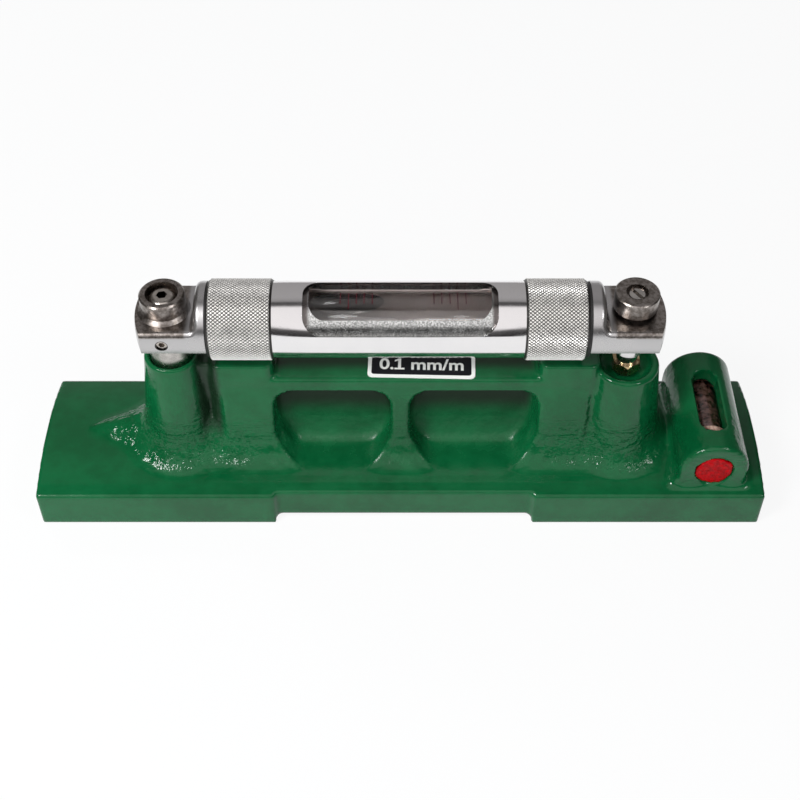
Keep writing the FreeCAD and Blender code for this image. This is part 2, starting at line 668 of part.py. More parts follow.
def pivot_post():
    """The steel pivot: a drum pressed into the left post, with the stem that the tube tilts on."""
    profile = [
        (0, PIVOT_BOTTOM),
        (PIVOT_RADIUS, PIVOT_BOTTOM),
        (PIVOT_RADIUS, PIVOT_SHOULDER_Z - PIVOT_DOME_DROP),
        (STEM_RADIUS + PIVOT_DOME_FLAT, PIVOT_SHOULDER_Z),
        (STEM_RADIUS, PIVOT_SHOULDER_Z),
        (STEM_RADIUS, STEM_TOP),
        (SCREW_RADIUS, STEM_TOP),
        (SCREW_RADIUS, SCREW_BOTTOM),
        (0, SCREW_BOTTOM),
    ]
    return turned_on_stud(LEFT_X, profile)


def clamp_screw():
    """The button-head screw that holds the left end down on its pivot."""
    seat = HEAD_SEAT_Z + HEAD_SEAT_GAP
    top = seat + HEAD_HEIGHT
    crown = HEAD_RADIUS * HEAD_CROWN_SHARE
    rim = seat + HEAD_RIM
    slope = math.radians(45)
    shoulder_r = crown + (HEAD_RADIUS - crown) * math.sin(slope)
    shoulder_z = rim + (top - rim) * math.cos(slope)

    def at(r, z):
        return Vector(LEFT_X + r, 0, z)

    edges = [
        straight(at(0, SCREW_BOTTOM), at(SCREW_RADIUS, SCREW_BOTTOM)),
        straight(at(SCREW_RADIUS, SCREW_BOTTOM), at(SCREW_RADIUS, seat)),
        straight(at(SCREW_RADIUS, seat), at(HEAD_RADIUS, seat)),
        straight(at(HEAD_RADIUS, seat), at(HEAD_RADIUS, rim)),
        arc(at(HEAD_RADIUS, rim), at(shoulder_r, shoulder_z), at(crown, top)),
        straight(at(crown, top), at(0, top)),
        straight(at(0, top), at(0, SCREW_BOTTOM)),
    ]
    screw = face_of(edges).revolve(Vector(LEFT_X, 0, 0), Z_AXIS, 360)
    socket = hexagon(HEAD_SOCKET_FLATS, top - HEAD_SOCKET_DEPTH, HEAD_SOCKET_TURN).extrude(Vector(0, 0, FAR))
    socket.translate(Vector(LEFT_X, 0, 0))
    return screw.cut(socket)


def set_screw(side):
    """A grub screw that bears on the pivot's stem, on the axis that the tube tilts about."""
    screw = rod(SET_SCREW_RADIUS, 0, SET_SCREW_LENGTH)
    socket = hexagon(SET_SCREW_SOCKET_FLATS, SET_SCREW_LENGTH - SET_SCREW_SOCKET_DEPTH, 0).extrude(Vector(0, 0, FAR))
    screw = screw.cut(socket)
    screw.rotate(Vector(0, 0, 0), X_AXIS, -90 * side)
    screw.translate(Vector(LEFT_X, side * (STEM_RADIUS + SET_SCREW_GAP), TUBE_Z))
    return screw


# ---------------------------------------------------------------- levelling stud


def adjusting_stud():
    """The stud fixed in the right post, with a screwdriver slot in its end."""
    stud = rod(STUD_RADIUS, STUD_BOTTOM, STUD_TOP, x=RIGHT_X)
    slot = box((-FAR, FAR), (-STUD_SLOT_WIDTH / 2, STUD_SLOT_WIDTH / 2), (STUD_TOP - STUD_SLOT_DEPTH, STUD_TOP + 1))
    slot.rotate(Vector(0, 0, 0), Z_AXIS, STUD_SLOT_TURN)
    slot.translate(Vector(RIGHT_X, 0, 0))
    return stud.cut(slot)


def lower_hex_nut():
    nut = hexagon(HEX_NUT_FLATS, HEX_NUT_BOTTOM, 30).extrude(Vector(0, 0, HEX_NUT_TOP - HEX_NUT_BOTTOM))
    nut.translate(Vector(RIGHT_X, 0, 0))
    reach = HEX_NUT_FLATS / 2 / math.cos(math.pi / 6)
    c = HEX_NUT_CHAMFER
    trim = turned_on_stud(RIGHT_X, [(0, HEX_NUT_BOTTOM), (reach - c, HEX_NUT_BOTTOM), (reach, HEX_NUT_BOTTOM + c),
                                    (reach, HEX_NUT_TOP - c), (reach - c, HEX_NUT_TOP), (0, HEX_NUT_TOP)])
    return nut.common(trim).cut(rod(STUD_RADIUS + THREAD_PLAY, 0, FAR * 2, x=RIGHT_X))


def lower_bush():
    """The shouldered bush that carries the right end fitting on the hex nut."""
    bore = STUD_RADIUS + THREAD_PLAY
    top = TONGUE_BOTTOM - SEAT_GAP
    return turned_on_stud(RIGHT_X, [(bore, HEX_NUT_TOP), (BUSH_NECK_RADIUS, HEX_NUT_TOP),
                                    (BUSH_NECK_RADIUS, BUSH_NECK_TOP), (BUSH_RADIUS - BUSH_CHAMFER, BUSH_NECK_TOP),
                                    (BUSH_RADIUS, BUSH_NECK_TOP + BUSH_CHAMFER), (BUSH_RADIUS, top), (bore, top)])


def upper_washer():
    bore = STUD_RADIUS + THREAD_PLAY
    low = TONGUE_TOP + SEAT_GAP
    return turned_on_stud(RIGHT_X, [(bore, low), (WASHER_RADIUS, low), (WASHER_RADIUS, ROUND_NUT_BOTTOM),
                                    (bore, ROUND_NUT_BOTTOM)])


def upper_round_nut():
    """The round nut that clamps the right end fitting from above."""
    bore = STUD_RADIUS + THREAD_PLAY
    c = ROUND_NUT_CHAMFER
    r = ROUND_NUT_RADIUS
    recess = ROUND_NUT_TOP - ROUND_NUT_RECESS_DEPTH
    return turned_on_stud(RIGHT_X, [(bore, ROUND_NUT_BOTTOM), (r - c, ROUND_NUT_BOTTOM), (r, ROUND_NUT_BOTTOM + c),
                                    (r, ROUND_NUT_TOP - c), (r - c, ROUND_NUT_TOP),
                                    (ROUND_NUT_RECESS_RADIUS, ROUND_NUT_TOP), (ROUND_NUT_RECESS_RADIUS, recess),
                                    (bore, recess)])


def all_parts():
    glass, spirit = main_vial()
    cross_glass, cross_spirit = cross_vial()
    return {
        "base_casting": base_casting(),
        "label_plate": label_plate(),
        "pivot_post": pivot_post(),
        "clamp_screw": clamp_screw(),
        "adjusting_stud": adjusting_stud(),
        "cross_vial_glass": cross_glass,
        "cross_vial_spirit": cross_spirit,
        "cross_vial_front_bedding": cross_bedding(-1),
        "cross_vial_rear_bedding": cross_bedding(1),
        "cross_vial_front_plug": cross_plug(-1),
        "cross_vial_rear_plug": cross_plug(1),
        "left_end_fitting": left_end_fitting(),
        "right_end_fitting": right_end_fitting(),
        "front_set_screw": set_screw(-1),
        "rear_set_screw": set_screw(1),
        "carrier_tube": carrier_tube(),
        "left_friction_ring": friction_ring((LEFT_COLLAR[1], SLEEVE_LEFT - RING_GAP)),
        "right_friction_ring": friction_ring((SLEEVE_RIGHT + RING_GAP, RIGHT_COLLAR[0])),
        "main_vial_glass": glass,
        "main_vial_spirit": spirit,
        "left_vial_bedding": vial_bedding(-1),
        "right_vial_bedding": vial_bedding(1),
        "cover_sleeve": cover_sleeve(),
        "lower_hex_nut": lower_hex_nut(),
        "lower_bush": lower_bush(),
        "upper_washer": upper_washer(),
        "upper_round_nut": upper_round_nut(),
    }


os.makedirs("parts", exist_ok=True)
for name, shape in all_parts().items():
    shape.exportStep("parts/" + name + ".step")
    print(name, len(shape.Solids), "solid", round(shape.Volume, 1), "mm3", "valid" if shape.isValid() else "INVALID")
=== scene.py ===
import math

import bmesh
import bpy
from mathutils import Matrix, Vector, bvhtree, noise


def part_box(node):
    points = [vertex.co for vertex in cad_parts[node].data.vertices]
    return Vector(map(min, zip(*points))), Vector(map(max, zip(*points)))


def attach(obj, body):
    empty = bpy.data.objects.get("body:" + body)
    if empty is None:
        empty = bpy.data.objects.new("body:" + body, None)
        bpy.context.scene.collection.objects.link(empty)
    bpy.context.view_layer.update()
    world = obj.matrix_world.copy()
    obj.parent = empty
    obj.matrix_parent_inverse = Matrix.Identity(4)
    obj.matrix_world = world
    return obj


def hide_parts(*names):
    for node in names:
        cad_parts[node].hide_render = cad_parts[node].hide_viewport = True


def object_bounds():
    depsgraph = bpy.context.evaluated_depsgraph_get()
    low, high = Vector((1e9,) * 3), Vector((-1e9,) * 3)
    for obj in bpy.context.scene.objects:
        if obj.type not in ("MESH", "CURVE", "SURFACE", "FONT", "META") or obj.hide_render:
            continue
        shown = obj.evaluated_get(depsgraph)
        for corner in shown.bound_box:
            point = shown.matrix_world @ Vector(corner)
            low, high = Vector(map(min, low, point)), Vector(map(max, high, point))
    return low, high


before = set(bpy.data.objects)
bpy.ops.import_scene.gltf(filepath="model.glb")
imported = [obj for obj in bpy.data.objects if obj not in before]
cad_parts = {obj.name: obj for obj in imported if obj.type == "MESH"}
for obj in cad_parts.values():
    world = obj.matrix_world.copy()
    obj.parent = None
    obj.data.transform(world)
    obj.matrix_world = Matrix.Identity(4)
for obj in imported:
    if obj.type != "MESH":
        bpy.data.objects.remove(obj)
CAD_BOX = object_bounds()
MM = 0.001

# ---------------------------------------------------------------- places taken from the CAD parts

SLEEVE_LOW, SLEEVE_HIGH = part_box("cover_sleeve")
GLASS_LOW, GLASS_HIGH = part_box("main_vial_glass")
TUBE_Z = (GLASS_LOW.z + GLASS_HIGH.z) / 2
GLASS_RADIUS = (GLASS_HIGH.z - GLASS_LOW.z) / 2
CREST_RADIUS = (SLEEVE_HIGH.y - SLEEVE_LOW.y) / 2
TUBE_AXIS = Vector((0, 0, TUBE_Z))
X_AXIS = Vector((1, 0, 0))
Y_AXIS = Vector((0, 1, 0))

MERGE = 0.001 * MM

# the pivot and the posts along X, in millimetres
PIVOT_X = -60.9
POST_X = 60.6

# knurled grips of the cover
PLAIN_RADIUS = 10.0 * MM
LEFT_GRIP = (SLEEVE_LOW.x, -32.7 * MM)
RIGHT_GRIP = (31.9 * MM, SLEEVE_HIGH.x)
KNURL_PITCH = 1.12 * MM
KNURL_ROW = 0.93 * MM
KNURL_FLANK = 0.23 * MM
KNURL_DEPTH = 0.24 * MM
GRIP_CHAMFER = 0.45 * MM
GRIP_WALL = 0.1 * MM

# window of the cover: how far polishing has rounded its edges
WINDOW_EASE = 0.22 * MM
WINDOW_EASE_ANGLE = 35.0
WINDOW_EASE_SEGMENTS = 3

# casting: the plate's crown in millimetres, and how its skin is grown and softened
CROWN_TOP = 15.2
CROWN_FALL = 3.6 / 22.0 ** 2
SAND_VOXEL = 0.7 * MM
BLEND_PASSES = 26
EDGE_PASSES = 2
SKIN_PLAY = 0.08 * MM
SOLE_TOP = 6.2 * MM
SOLE_SLOPE = -0.3

# casting, in millimetres: the heights left rough, and the places inside them that are machined or kept crisp
ROUGH_HEIGHTS = (12.2, 41.0)
HOUSING_FROM_X = 77.0
HOUSING_FROM_Z = 15.0
PLATE_RIM_X = 97.0
PLATE_RIM_Y = 19.5
SHELF_FROM_Z = 35.8
SHELF_SPAN = (-33.0, 36.0)
GAP_FROM_Z = 26.0
POST_GAPS = ((-54.5, -49.0), (48.0, 53.5))

# enamel, in millimetres: each pair is where a change begins and ends
WALL_END_X = (34.0, 37.0)
WALL_FACE_Y = (3.4, 4.4)
WALL_FRONT_Y = (-4.6, -3.8)
WALL_FOOT_Z = (13.5, 15.0)
WALL_TOP_Z = (35.0, 36.0)
SHELF_UNDER_Z = (35.6, 36.2)
# from here to PIVOT_GAP_Z: where painted shade goes into the pockets and the gap by the pivot post, and the tube's
# painted shadow onto the shelf top
POCKET_Z = (22.0, 30.0)
SHELF_FRONT_Y = (-2.5, 2.0)
SHELF_BACK_Y = (3.0, 5.0)
SHELF_TOP_Z = (40.2, 40.5)
PIVOT_GAP_X = 51.6
PIVOT_GAP_WIDTH = (2.0, 4.0)
PIVOT_GAP_Z = (18.0, 26.0)
CAST_SKIN = (0.2, 1.1)
FOOT_REACH = (17.0, 24.0)
HOUSING_SIDE_X = (66.0, 70.0)
ROUGH_FADE_Z = (20.0, 30.0)
FLOW_FOOT_Z = (19.0, 23.0)
FLOW_TOP_Z = (26.0, 31.0)

# end fittings and clamp screw, in millimetres: where grime has settled on the tongues, and where shade is painted
# round the set screw and into the clamp screw's socket
TONGUE_GRIME_X = (54.2, 55.4)
TONGUE_GRIME_Z = (60.1, 60.6)
SET_SCREW_SHADE_RIM = (1.55, 1.75)
SOCKET_SHADE_RIM = (1.45, 1.6)
SOCKET_TOP_Z = (66.2, 66.5)

# carrier tube, in millimetres: where its plating starts, and where painted shade darkens its ends at the window
CARRIER_SKIN = (7.8, 7.95)
SHADED_END_X = (22.9, 24.0)

# scale of the long vial, along X from its centre line
SCALE_LEFT = (-15.4, -13.3, -11.3, -9.3, -7.2)
SCALE_RIGHT = (8.6, 10.6, 12.7, 14.7, 16.8)
SCALE_LONG = (-13.3, 14.7)
LINE_HALF_WIDTH = 0.09 * MM
LINE_DEPTH = 0.03 * MM
LINE_LIFT = 0.01 * MM
LINE_STEPS = 24
SHORT_ARC = (-70.0, 12.0)
LONG_ARC = (-80.0, 25.0)

# liquids: bore radius, half length and bubble of each vial
WETTING = 0.03 * MM
SEALED_SHARE = 0.6
LONG_BUBBLE_X = -13.6 * MM
LONG_BUBBLE = (9.4 * MM, 3.6 * MM)
CROSS_BUBBLE = (4.4 * MM, 1.9 * MM)
MENISCUS = 0.25
VIAL_STEPS = 96
BUBBLE_SEGMENTS = (64, 40)

# wax plug: (share of the bore's radius, depth below the face) from the middle outwards and back
WAX_PROFILE = ((0.2, 0.0), (0.4, 0.0), (0.6, 0.0), (0.75, 0.0), (0.86, 0.02 * MM), (0.95, 0.08 * MM),
               (1.0, 0.35 * MM), (0.99, 1.1 * MM), (0.97, 2.5 * MM))
WAX_STEPS = 80
WAX_RAGGED_FROM = 0.4
WAX_DENTED_DEPTH = 1.0 * MM
WAX_SINK = 0.12 * MM
WAX_DEEPEST = 0.25 * MM

# label
LABEL_SIZE = (28.8 * MM, 9.4 * MM)
LABEL_TURN = math.radians(-1.5)
LABEL_BORDER = 1.0 * MM
FIELD_CORNER = 0.8 * MM
PRINT_THICKNESS = 0.04 * MM
WORDS = "0.1 mm/m"
WORDS_WIDTH = 22.6 * MM
WORDS_BASELINE = -1.75 * MM
LETTER_WEIGHT = 0.022
LETTER_EXTRUDE = 0.01

# the figure one: its span in the row of letters, and its flag and foot as shares of its stroke
FIGURE_ONE = (0.85, 1.2)
FOOT_SHARES = (3.4, 0.8)
FLAG_SHARES = (1.3, 0.8)
FLAG_SLANT = 0.55
FLAG_PLACE = (0.5, 0.78)
OVER_THICK = 1.08

# studio
CAMERA_LENS = 61.44
CAMERA_PLACE = (-0.0001, -0.255333, 0.304673)
CAMERA_DOWN = 47.4063
LAMP_AIM = (0, 0, 0.03)
# name, place, size, watts, and whether bright work mirrors it
LAMPS = (("front_overhead", (-0.28, -0.50, 0.44), (0.46, 0.40), 2.0, False),
         ("left_key", (-0.42, -0.34, 0.62), (0.19, 0.19), 3.8, True),
         ("left_back", (-0.48, 0.46, 0.5), (0.12, 0.12), 0.7, False),
         ("right_key", (0.46, -0.36, 0.62), (0.13, 0.13), 0.8, True))
WORLD_STRENGTH = 0.16
# what bright work sees round the tube, as (share of a turn from straight down, grey)
WORLD_GREYS = ((0.0, 0.30), (0.25, 0.34), (0.44, 0.38), (0.475, 0.30), (0.487, 0.06), (0.512, 0.10), (0.53, 0.95),
               (0.69, 1.0), (0.705, 0.10), (0.75, 0.03), (0.79, 0.05), (0.84, 0.5))
WORLD_SIDE = (0.3, 0.6)
TABLE_RADIUS = 0.75
TABLE_DROP = 0.1 * MM
TABLE_GLOW = 0.9


# ---------------------------------------------------------------- finishes


class Signal:
    """A varying number in a finish. Arithmetic on it adds the Math nodes."""

    def __init__(self, tree, socket):
        self.tree = tree
        self.socket = socket

    def maths(self, operation, first, second):
        return self.tree.node("ShaderNodeMath", {"operation": operation}, {0: first, 1: second})

    def __add__(self, other):
        return self.maths("ADD", self, other)

    def __radd__(self, other):
        return self.maths("ADD", other, self)

    def __sub__(self, other):
        return self.maths("SUBTRACT", self, other)

    def __rsub__(self, other):
        return self.maths("SUBTRACT", other, self)

    def __mul__(self, other):
        return self.maths("MULTIPLY", self, other)

    def __rmul__(self, other):
        return self.maths("MULTIPLY", other, self)

    def __truediv__(self, other):
        return self.maths("DIVIDE", self, other)

    def __rtruediv__(self, other):
        return self.maths("DIVIDE", other, self)

    def __abs__(self):
        return self.tree.node("ShaderNodeMath", {"operation": "ABSOLUTE"}, {0: self})


class Tree:
    """A node tree that grows by one method."""

    def __init__(self, tree):
        self.nodes = tree.nodes
        self.links = tree.links

    def feed(self, socket, value):
        if isinstance(value, Signal):
            self.links.new(value.socket, socket)
        else:
            socket.default_value = value

    def node(self, kind, settings=None, sockets=None, output=0):
        made = self.nodes.new(kind)
        for name, value in (settings or {}).items():
            if name == "stops":
                ramp = made.color_ramp.elements
                while len(ramp) < len(value):
                    ramp.new(1.0)
                for element, (position, colour) in zip(ramp, value):
                    element.position = position
                    element.color = colour
            else:
                setattr(made, name, value)
        for name, value in (sockets or {}).items():
            self.feed(made.inputs[name], value)
        return Signal(self, made.outputs[output])

    def axis(self, place, letter):
        """One coordinate of a place."""
        return self.node("ShaderNodeSeparateXYZ", None, {0: place}, output=letter)

    def noise(self, place, scale, detail=2.0, roughness=0.5):
        return self.node("ShaderNodeTexNoise", None,
                         {"Vector": place, "Scale": scale, "Detail": detail, "Roughness": roughness})

    def band(self, value, low, high, bottom=0.0, top=1.0):
        """Maps low..high to bottom..top, softly and held at both ends."""
        return self.node("ShaderNodeMapRange", {"interpolation_type": "SMOOTHSTEP"},
                         {"Value": value, "From Min": low, "From Max": high, "To Min": bottom, "To Max": top})

    def blend(self, share, first, second):
        return self.node("ShaderNodeMix", {"data_type": "RGBA"}, {0: share, 6: first, 7: second}, output=2)


class Finish(Tree):
    """A material: one Principled shader and what varies it."""

    def __init__(self, name, **constants):
        self.material = bpy.data.materials.new(name)
        self.material.use_nodes = True
        super().__init__(self.material.node_tree)
        self.shader = self.nodes["Principled BSDF"]
        for key, value in constants.items():
            self.shader.inputs[key.replace("_", " ")].default_value = value

    def place(self, stretch=(1, 1, 1), shift=(0, 0, 0)):
        """Object coordinates in millimetres, stretched and moved where a pattern needs it."""
        coordinates = self.node("ShaderNodeTexCoord", output="Object")
        scale = tuple(s / MM for s in stretch)
        return self.node("ShaderNodeMapping", {"vector_type": "POINT"},
                         {"Vector": coordinates, "Scale": scale, "Location": shift})

    def reach(self, stretch, shift):
        """Distance in millimetres from a line or point; a stretch of 0 leaves that direction out."""
        return self.node("ShaderNodeVectorMath", {"operation": "LENGTH"}, {0: self.place(stretch, shift)},
                         output="Value")

    def tube_radius(self):
        """Distance in millimetres from the vial tube's axis."""
        return self.reach((0, 1, 1), (0, 0, -TUBE_Z / MM))

    def set(self, **values):
        for key, value in values.items():
            self.feed(self.shader.inputs[key.replace("_", " ")], value)

    def bump(self, height, distance_mm):
        relief = self.node("ShaderNodeBump", None, {"Height": height, "Distance": distance_mm * MM})
        self.feed(self.shader.inputs["Normal"], relief)
        return self


def rgb(red, green, blue):
    return (red, green, blue, 1.0)


def green_enamel():
    """Glossy enamel brushed thickly over sand casting, lumpy where it is cast, with shade painted into its deep
    places.

    The dark of the pockets and of the gap by the pivot post is painted shade, and the dark of the shelf top under the
    tube is the tube's painted shadow."""
    enamel = Finish("green_enamel", IOR=1.4)
    place = enamel.place()
    along, across, height = (enamel.axis(place, letter) for letter in "XYZ")
    from_middle = abs(along)
    cloud = enamel.noise(place, 0.05, 3.0)
    drift = enamel.noise(place, 0.22, 4.0, 0.6)
    tone = enamel.band(cloud * 0.6 + drift * 0.4, 0.35, 0.65)
    green = enamel.blend(tone, rgb(0.0015, 0.078, 0.023), rgb(0.003, 0.112, 0.035))

    # masks for painted shade in the pockets and by the pivot post, and for the tube's painted shadow on the shelf top
    between = enamel.band(from_middle, *WALL_END_X, 1.0, 0.0)
    recess = enamel.band(abs(across), *WALL_FACE_Y, 1.0, 0.0) * enamel.band(height, *SHELF_UNDER_Z, 1.0, 0.0) * between
    pocket_shade = recess * enamel.band(height, *POCKET_Z)
    shelf = enamel.band(across, *SHELF_FRONT_Y) * enamel.band(across, *SHELF_BACK_Y, 1.0, 0.0)
    shelf = shelf * enamel.band(height, *SHELF_TOP_Z) * between
    gap = enamel.band(abs(along + PIVOT_GAP_X), *PIVOT_GAP_WIDTH, 0.85, 0.0) * enamel.band(height, *PIVOT_GAP_Z)
    # the painted shade and painted shadow darken the green here
    green = enamel.blend(pocket_shade * 0.9 + gap + shelf * 0.8, green, rgb(0.006, 0.012, 0.006))

    above_crown = height + across * across * CROWN_FALL - CROWN_TOP
    cast = enamel.band(above_crown, *CAST_SKIN)
    from_post = abs(from_middle - POST_X)
    foot = enamel.band(from_post, *FOOT_REACH, 1.0, 0.3) * enamel.band(along, *HOUSING_SIDE_X, 1.0, 0.4)
    rough = cast * foot * enamel.band(height, *ROUGH_FADE_Z, 1.0, 0.12)
    sand = enamel.noise(place, 0.32, 2.0, 0.5)
    peel = enamel.noise(place, 0.62, 2.0, 0.5)
    grit = enamel.noise(place, 1.4, 2.0, 0.5)
    relief = ((sand - 0.5) * 0.9 + (peel - 0.5) * 0.95 + (grit - 0.5) * 0.2) * (rough * 0.95 + 0.05)
    flow = enamel.noise(enamel.place((0.07, 0.3, 0.8)), 1.0, 3.0, 0.6)
    ridges = enamel.band(height, *FLOW_FOOT_Z) * enamel.band(height, *FLOW_TOP_Z, 1.0, 0.0)
    ridges = ridges * enamel.band(across, *WALL_FRONT_Y, 1.0, 0.0)

    wall = between * enamel.band(height, *WALL_FOOT_Z) * enamel.band(height, *WALL_TOP_Z, 1.0, 0.0)
    matt = (recess + gap) * 0.2 + wall * 0.12
    enamel.set(Base_Color=green, Roughness=enamel.band(drift, 0.3, 0.7, 0.09, 0.19) + matt)
    return enamel.bump(relief + (flow - 0.5) * ridges * 0.7, 0.5).material


def ground_iron():
    """The sole and the groove, ground bare with the grinding lines left along the base."""
    iron = Finish("ground_iron", Metallic=1.0)
    place = iron.place()
    lines = iron.noise(iron.place((0.05, 6.0, 1.0)), 1.0, 4.0, 0.7)
    stain = iron.noise(place, 0.15, 4.0, 0.6)
    iron.set(Base_Color=iron.blend(stain, rgb(0.16, 0.155, 0.15), rgb(0.34, 0.335, 0.33)),
             Roughness=iron.band(lines, 0.3, 0.7, 0.28, 0.46))
    return iron.bump(lines, 0.02).material


def chrome(name, smooth=0.1, shine=0.86, fitting=False):
    """Bright plating with a faint haze, fine handling marks and pinholes.

    An end fitting also has grimy tongues and a black rim of painted shade round its set screw."""
    plate = Finish(name, Metallic=1.0)
    place = plate.place()
    haze = plate.noise(place, 0.12, 4.0, 0.6)
    turning = plate.noise(plate.place((3.2, 0.25, 0.25)), 1.0, 3.0, 0.6)
    pits = plate.band(plate.noise(place, 1.6, 3.0, 0.7), 0.62, 0.75)
    tint = plate.blend(haze, rgb(shine, shine * 0.985, shine * 0.985),
                       rgb(shine * 0.93, shine * 0.92, shine * 0.93))
    if fitting:
        grime = plate.band(abs(plate.axis(place, "X")), *TONGUE_GRIME_X)
        grime = grime * plate.band(plate.axis(place, "Z"), *TONGUE_GRIME_Z)
        mottle = plate.band(plate.noise(place, 0.9, 4.0, 0.65), 0.35, 0.65)
        stain = plate.blend(mottle, rgb(0.16, 0.14, 0.125), rgb(0.34, 0.31, 0.29))
        tint = plate.blend(grime, tint, stain)
        # inside SET_SCREW_SHADE_RIM the fitting is painted black: painted shade in the set screw's hole
        from_screw = plate.reach((1, 0, 1), (-PIVOT_X, 0, -TUBE_Z / MM))
        tint = plate.blend(plate.band(from_screw, *SET_SCREW_SHADE_RIM), rgb(0.01, 0.01, 0.01), tint)
    plate.set(Base_Color=tint, Roughness=plate.band(haze, 0.3, 0.7, smooth, smooth + 0.06) + pits * 0.1)
    return plate.bump(turning * 0.4 + pits * 0.3 + plate.noise(place, 0.5, 3.0) * 0.5, 0.012).material


def satin_steel(name, dark, light, rough, warmth, socket=False):
    """Turned or milled steel with its tool lines dulled by handling, and painted shade in the clamp screw's socket."""
    steel = Finish(name, Metallic=1.0)
    place = steel.place()
    stain = steel.noise(place, 0.4, 4.0, 0.65)
    lines = steel.noise(steel.place((0.3, 0.3, 8.0)), 1.0, 3.0, 0.6)
    first = rgb(dark * (1 + warmth), dark, dark * (1 - warmth))
    second = rgb(light * (1 + warmth), light, light * (1 - warmth))
    tint = steel.blend(steel.band(stain, 0.35, 0.65), first, second)
    if socket:
        # the clamp screw's socket is painted near-black: painted shade in the hole
        socket_shade = steel.band(steel.reach((1, 1, 0), (-PIVOT_X, 0, 0)), *SOCKET_SHADE_RIM, 1.0, 0.0)
        socket_shade = socket_shade * steel.band(steel.axis(place, "Z"), *SOCKET_TOP_Z, 1.0, 0.0)
        tint = steel.blend(socket_shade, tint, rgb(0.02, 0.017, 0.015))
    mixed = lines * 0.5 + stain * 0.5
    steel.set(Base_Color=tint, Roughness=steel.band(mixed, 0.3, 0.7, rough, rough + 0.12))
    return steel.bump(mixed, 0.015).material


def knurl_plate():
    """Plated knurling: bright and a little matt on the tips of the diamonds, with painted shade between them."""
    plate = Finish("knurl_plate", Metallic=0.6)
    place = plate.place()
    wear = plate.noise(place, 0.5, 3.0, 0.6)
    crest = CREST_RADIUS / MM
    tip = plate.band(plate.tube_radius() + wear * 0.06, crest - 0.2, crest - 0.04)
    # the near-black colour between the diamonds is painted shade
    plate.set(Base_Color=plate.blend(tip, rgb(0.04, 0.038, 0.036), rgb(1.0, 0.98, 0.95)),
              Roughness=plate.band(wear, 0.3, 0.7, 0.3, 0.42))
    return plate.bump(wear, 0.02).material


def carrier_plate():
    """The carrier: plated and scuffed outside, darkened towards the window's ends with painted shade, pale and dull in
    its bore.
    """
    plate = Finish("carrier_plate")
    place = plate.place()
    stain = plate.noise(place, 0.35, 4.0, 0.6)
    outside = plate.band(plate.tube_radius(), *CARRIER_SKIN)
    bore = plate.blend(stain, rgb(0.85, 0.68, 0.64), rgb(0.97, 0.86, 0.82))
    grain = plate.noise(place, 2.6, 3.0, 0.6)
    scuffed = plate.blend(plate.band(grain, 0.4, 0.6), rgb(0.42, 0.43, 0.42), rgb(0.78, 0.79, 0.78))
    # beyond SHADED_END_X the outside is painted dark: painted shade at the ends of the window
    outside_shaded_at_ends = plate.blend(plate.band(abs(plate.axis(place, "X")), *SHADED_END_X), scuffed, rgb(0.16, 0.145, 0.14))
    plate.set(Base_Color=plate.blend(outside, bore, outside_shaded_at_ends), Metallic=outside,
              Roughness=plate.band(stain, 0.3, 0.7, 0.4, 0.55) - outside * 0.25)
    return plate.bump(stain * 0.3 + grain, 0.035).material


def dark_rubber():
    """Black rubber of the friction rings, a little grainy."""
    rubber = Finish("black_rubber", Base_Color=rgb(0.012, 0.012, 0.012))
    grain = rubber.noise(rubber.place(), 3.0, 3.0)
    rubber.set(Roughness=rubber.band(grain, 0.3, 0.7, 0.45, 0.65))
    return rubber.bump(grain, 0.03).material


def clear_glass():
    """Drawn glass, very faintly wavy along its length."""
    glass = Finish("clear_glass", Transmission_Weight=1.0, IOR=1.5, Roughness=0.0)
    wave = glass.noise(glass.place((0.08, 1.0, 1.0)), 0.3, 1.0)
    glass.set(Base_Color=glass.blend(wave, rgb(0.985, 0.985, 0.985), rgb(0.965, 0.97, 0.97)))
    return glass.bump(wave, 0.01).material


def spirit(name, colour, deep, clearness, mottle):
    """The liquid in a vial, deeper in colour where the light pools."""
    liquid = Finish(name, Transmission_Weight=clearness, IOR=1.36, Roughness=0.0)
    pool = liquid.band(liquid.noise(liquid.place(), mottle, 3.0, 0.6), 0.35, 0.65)
    liquid.set(Base_Color=liquid.blend(pool, colour, deep))
    return liquid.material


def plaster(name, pale, dark):
    """Rough bedding plaster, smeared and chipped."""
    bed = Finish(name)
    place = bed.place()
    lumps = bed.noise(place, 1.4, 5.0, 0.7)
    bed.set(Base_Color=bed.blend(bed.band(lumps, 0.35, 0.65), dark, pale),
            Roughness=bed.band(lumps, 0.3, 0.7, 0.6, 0.95))
    return bed.bump(lumps, 0.35).material


def red_wax():
    """Sealing wax with a soft shine and small dents."""
    wax = Finish("red_wax", IOR=1.2)
    place = wax.place()
    dents = wax.noise(place, 0.7, 3.0, 0.55)
    wax.set(Base_Color=wax.blend(wax.band(dents, 0.3, 0.7), rgb(0.28, 0.0, 0.002), rgb(0.5, 0.0, 0.004)),
            Roughness=wax.band(dents, 0.3, 0.7, 0.22, 0.4))
    return wax.bump(dents, 0.3).material


def brass():
    """Yellow brass, bright on its machined faces and browner where it has tarnished."""
    metal = Finish("brass", Metallic=1.0)
    place = metal.place()
    tarnish = metal.noise(place, 0.6, 4.0, 0.6)
    metal.set(Base_Color=metal.blend(metal.band(tarnish, 0.35, 0.7), rgb(0.62, 0.5, 0.29), rgb(0.22, 0.14, 0.07)),
              Roughness=metal.band(tarnish, 0.3, 0.7, 0.16, 0.34))
    return metal.bump(tarnish, 0.03).material


